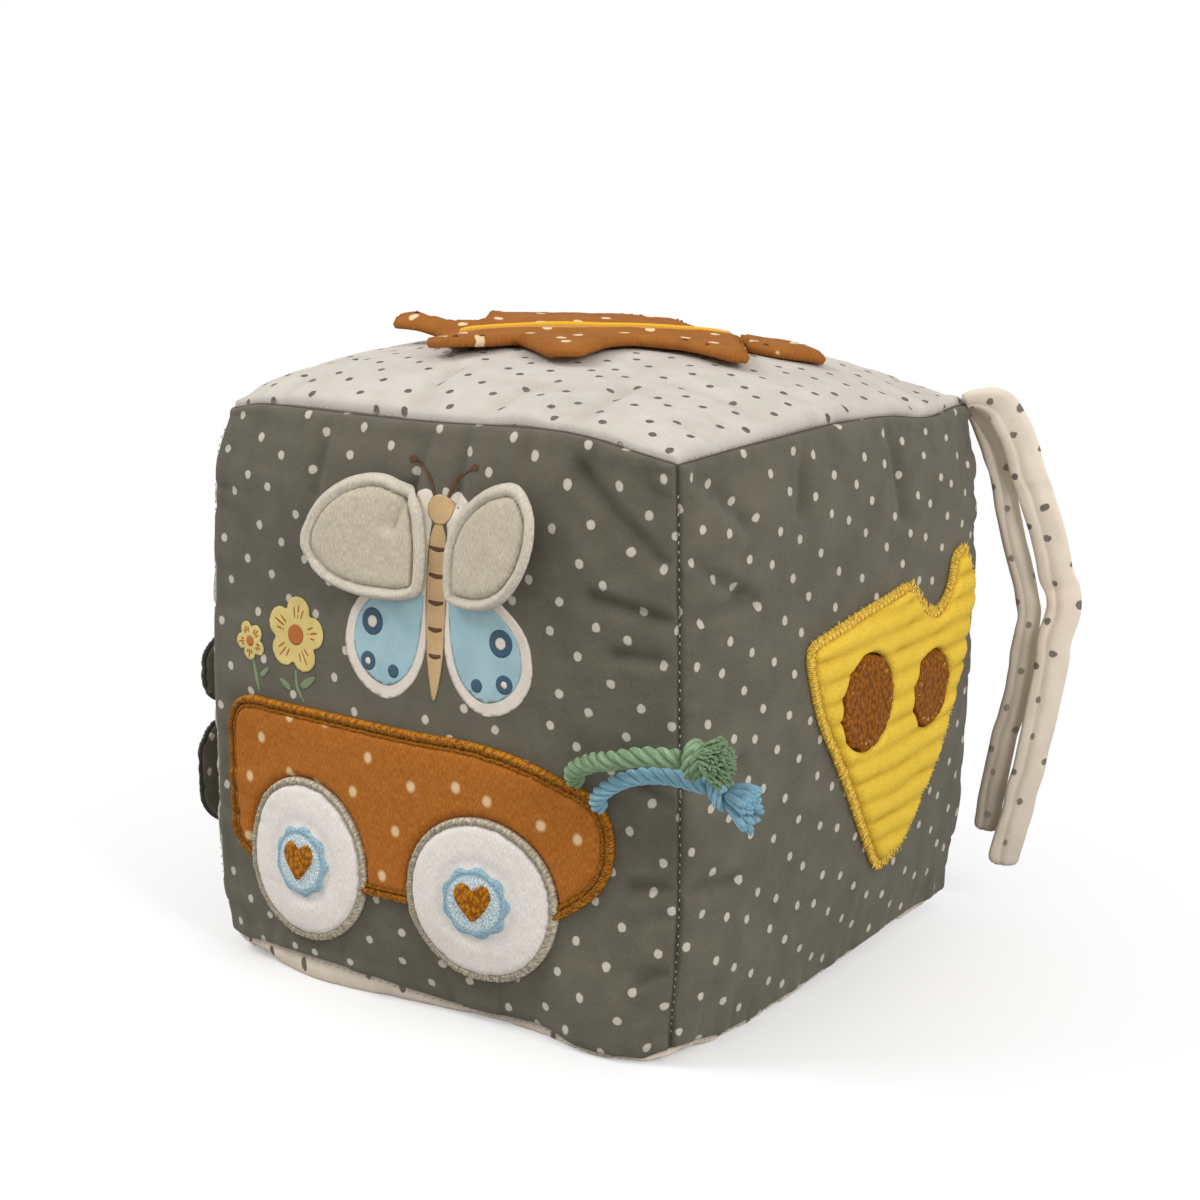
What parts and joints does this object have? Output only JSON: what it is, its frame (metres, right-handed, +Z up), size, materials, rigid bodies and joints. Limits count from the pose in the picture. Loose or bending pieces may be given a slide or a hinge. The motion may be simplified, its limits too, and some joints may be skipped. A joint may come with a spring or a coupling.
{
  "type": "rattle cube",
  "caption": "Soft stuffed fabric cube with an inner rattle, sewn motifs, loose plush and cloth flaps, tasselled cords and folded cloth ties.",
  "frame": {"origin": "middle of the flat patch that the cube stands on", "axes": "+Z up; -Y out of the face with the wagon; +X out of the face with the cheese; -X out of the face with the petals"},
  "size_m": [0.1891, 0.1822, 0.1638],
  "materials": {
    "grey_cotton": "olive-grey cotton twill with cream dots",
    "cream_cotton": "cream cotton with dark dots",
    "wadding": "loose white polyester fibre",
    "case_plastic": "white moulded plastic",
    "bead_plastic": "red moulded plastic",
    "rust_plush": "short plush with small cream dots",
    "gold_satin": "dense satin stitch",
    "white_plush": "short plush",
    "beige_satin": "dense satin stitch",
    "blue_satin": "dense satin stitch",
    "cream_plush": "short plush",
    "yellow_plush": "ribbed short plush",
    "yellow_satin": "dense satin stitch",
    "brown_satin": "dense satin stitch",
    "rust_cotton": "rust cotton twill with cream dots",
    "clear_film": "thin crinkly film",
    "yellow_ribbon": "woven ribbon",
    "green_yarn": "twisted cotton yarn",
    "blue_yarn": "twisted cotton yarn",
    "grey_velour": "dark grey velour with small dots"
  },
  "bodies": {
    "cube": {"panel_front": "grey_cotton", "panel_right": "grey_cotton", "panel_back": "grey_cotton", "panel_left": "cream_cotton", "panel_top": "cream_cotton", "panel_bottom": "cream_cotton", "rattle_case_lower": "case_plastic", "rattle_case_upper": "case_plastic", "wadding_lower": "wadding", "wadding_upper": "wadding", "wagon_plush": "rust_plush", "wagon_satin_edge": "gold_satin", "wagon_satin_middle": "gold_satin", "wheel_left_plush": "white_plush", "wheel_left_satin_rim": "beige_satin", "wheel_left_hub": "blue_satin", "wheel_left_heart": "gold_satin", "wheel_right_plush": "white_plush", "wheel_right_satin_rim": "beige_satin", "wheel_right_hub": "blue_satin", "wheel_right_heart": "gold_satin", "cheese_plush": "yellow_plush", "cheese_satin_edge": "yellow_satin", "cheese_hole_near": "brown_satin", "cheese_hole_far": "brown_satin", "leaf_spine": "rust_cotton", "leaf_vein_ribbon": "yellow_ribbon"},
    "leaf_near": {"leaf_near_lining": "rust_cotton", "leaf_near_film": "clear_film", "leaf_near_cloth": "rust_cotton"},
    "leaf_far": {"leaf_far_lining": "rust_cotton", "leaf_far_film": "clear_film", "leaf_far_cloth": "rust_cotton"},
    "wing_left": {"wing_left_plush": "cream_plush", "wing_left_lining": "cream_plush"},
    "wing_right": {"wing_right_plush": "cream_plush", "wing_right_lining": "cream_plush"},
    "petal_upper": {"petal_upper_lining": "grey_velour", "petal_upper_velour": "grey_velour"},
    "petal_lower": {"petal_lower_lining": "grey_velour", "petal_lower_velour": "grey_velour"},
    "green_cord": {"cord_green": "green_yarn", "cord_green_knot": "green_yarn", "cord_green_tassel": "green_yarn"},
    "blue_cord": {"cord_blue": "blue_yarn", "cord_blue_knot": "blue_yarn", "cord_blue_tassel": "blue_yarn"},
    "outer_tie": {"tie_outer": "cream_cotton"},
    "inner_tie": {"tie_inner": "cream_cotton"},
    "bead_1": {"rattle_bead_1": "bead_plastic"},
    "bead_2": {"rattle_bead_2": "bead_plastic"},
    "bead_3": {"rattle_bead_3": "bead_plastic"},
    "bead_4": {"rattle_bead_4": "bead_plastic"},
    "bead_5": {"rattle_bead_5": "bead_plastic"}
  },
  "joints": [
    {"name": "leaf_near_lift", "type": "hinge", "parent": "cube", "child": "leaf_near", "pos_m": [0.0025, -0.00293, 0.162], "axis": [-0.7604, -0.6494, 0], "range_deg": [0, 70]},
    {"name": "leaf_far_lift", "type": "hinge", "parent": "cube", "child": "leaf_far", "pos_m": [-0.0025, 0.00293, 0.162], "axis": [0.7604, 0.6494, 0], "range_deg": [0, 70]},
    {"name": "wing_left_fold", "type": "hinge", "parent": "cube", "child": "wing_left", "pos_m": [0.0037, -0.0793, 0.114], "axis": [-0.062, 0, 0.9981], "range_deg": [0, 85]},
    {"name": "wing_right_fold", "type": "hinge", "parent": "cube", "child": "wing_right", "pos_m": [0.0096, -0.0793, 0.114], "axis": [-0.04, 0, -0.9992], "range_deg": [0, 85]},
    {"name": "petal_upper_lift", "type": "hinge", "parent": "cube", "child": "petal_upper", "pos_m": [-0.082, -0.0171, 0.0715], "axis": [0, 0, -1], "range_deg": [0, 90]},
    {"name": "petal_lower_lift", "type": "hinge", "parent": "cube", "child": "petal_lower", "pos_m": [-0.0817, -0.0171, 0.0425], "axis": [0, 0, -1], "range_deg": [0, 90]},
    {"name": "green_cord_swing", "type": "hinge", "parent": "cube", "child": "green_cord", "pos_m": [0.0486, -0.0791, 0.0704], "axis": [0, 0, -1], "range_deg": [0, 50]},
    {"name": "blue_cord_swing", "type": "hinge", "parent": "cube", "child": "blue_cord", "pos_m": [0.0556, -0.0779, 0.0636], "axis": [0, 1, 0], "range_deg": [0, 40]},
    {"name": "outer_tie_swing", "type": "hinge", "parent": "cube", "child": "outer_tie", "pos_m": [0.0724, 0.0673, 0.1436], "axis": [0.7071, -0.7071, 0], "range_deg": [0, 80]},
    {"name": "inner_tie_swing", "type": "hinge", "parent": "cube", "child": "inner_tie", "pos_m": [0.0689, 0.0711, 0.1394], "axis": [0.7071, -0.7071, 0], "range_deg": [0, 60]},
    {"name": "bead_1_rattle", "type": "slide", "parent": "cube", "child": "bead_1", "axis": [0, 0, 1], "range_m": [0, 0.0165]},
    {"name": "bead_2_rattle", "type": "slide", "parent": "cube", "child": "bead_2", "axis": [0, 0, 1], "range_m": [0, 0.0165]},
    {"name": "bead_3_rattle", "type": "slide", "parent": "cube", "child": "bead_3", "axis": [0, 0, 1], "range_m": [0, 0.0165]},
    {"name": "bead_4_rattle", "type": "slide", "parent": "cube", "child": "bead_4", "axis": [0, 0, 1], "range_m": [0, 0.0165]},
    {"name": "bead_5_rattle", "type": "slide", "parent": "cube", "child": "bead_5", "axis": [0, 0, 1], "range_m": [0, 0.0165]}
  ]
}
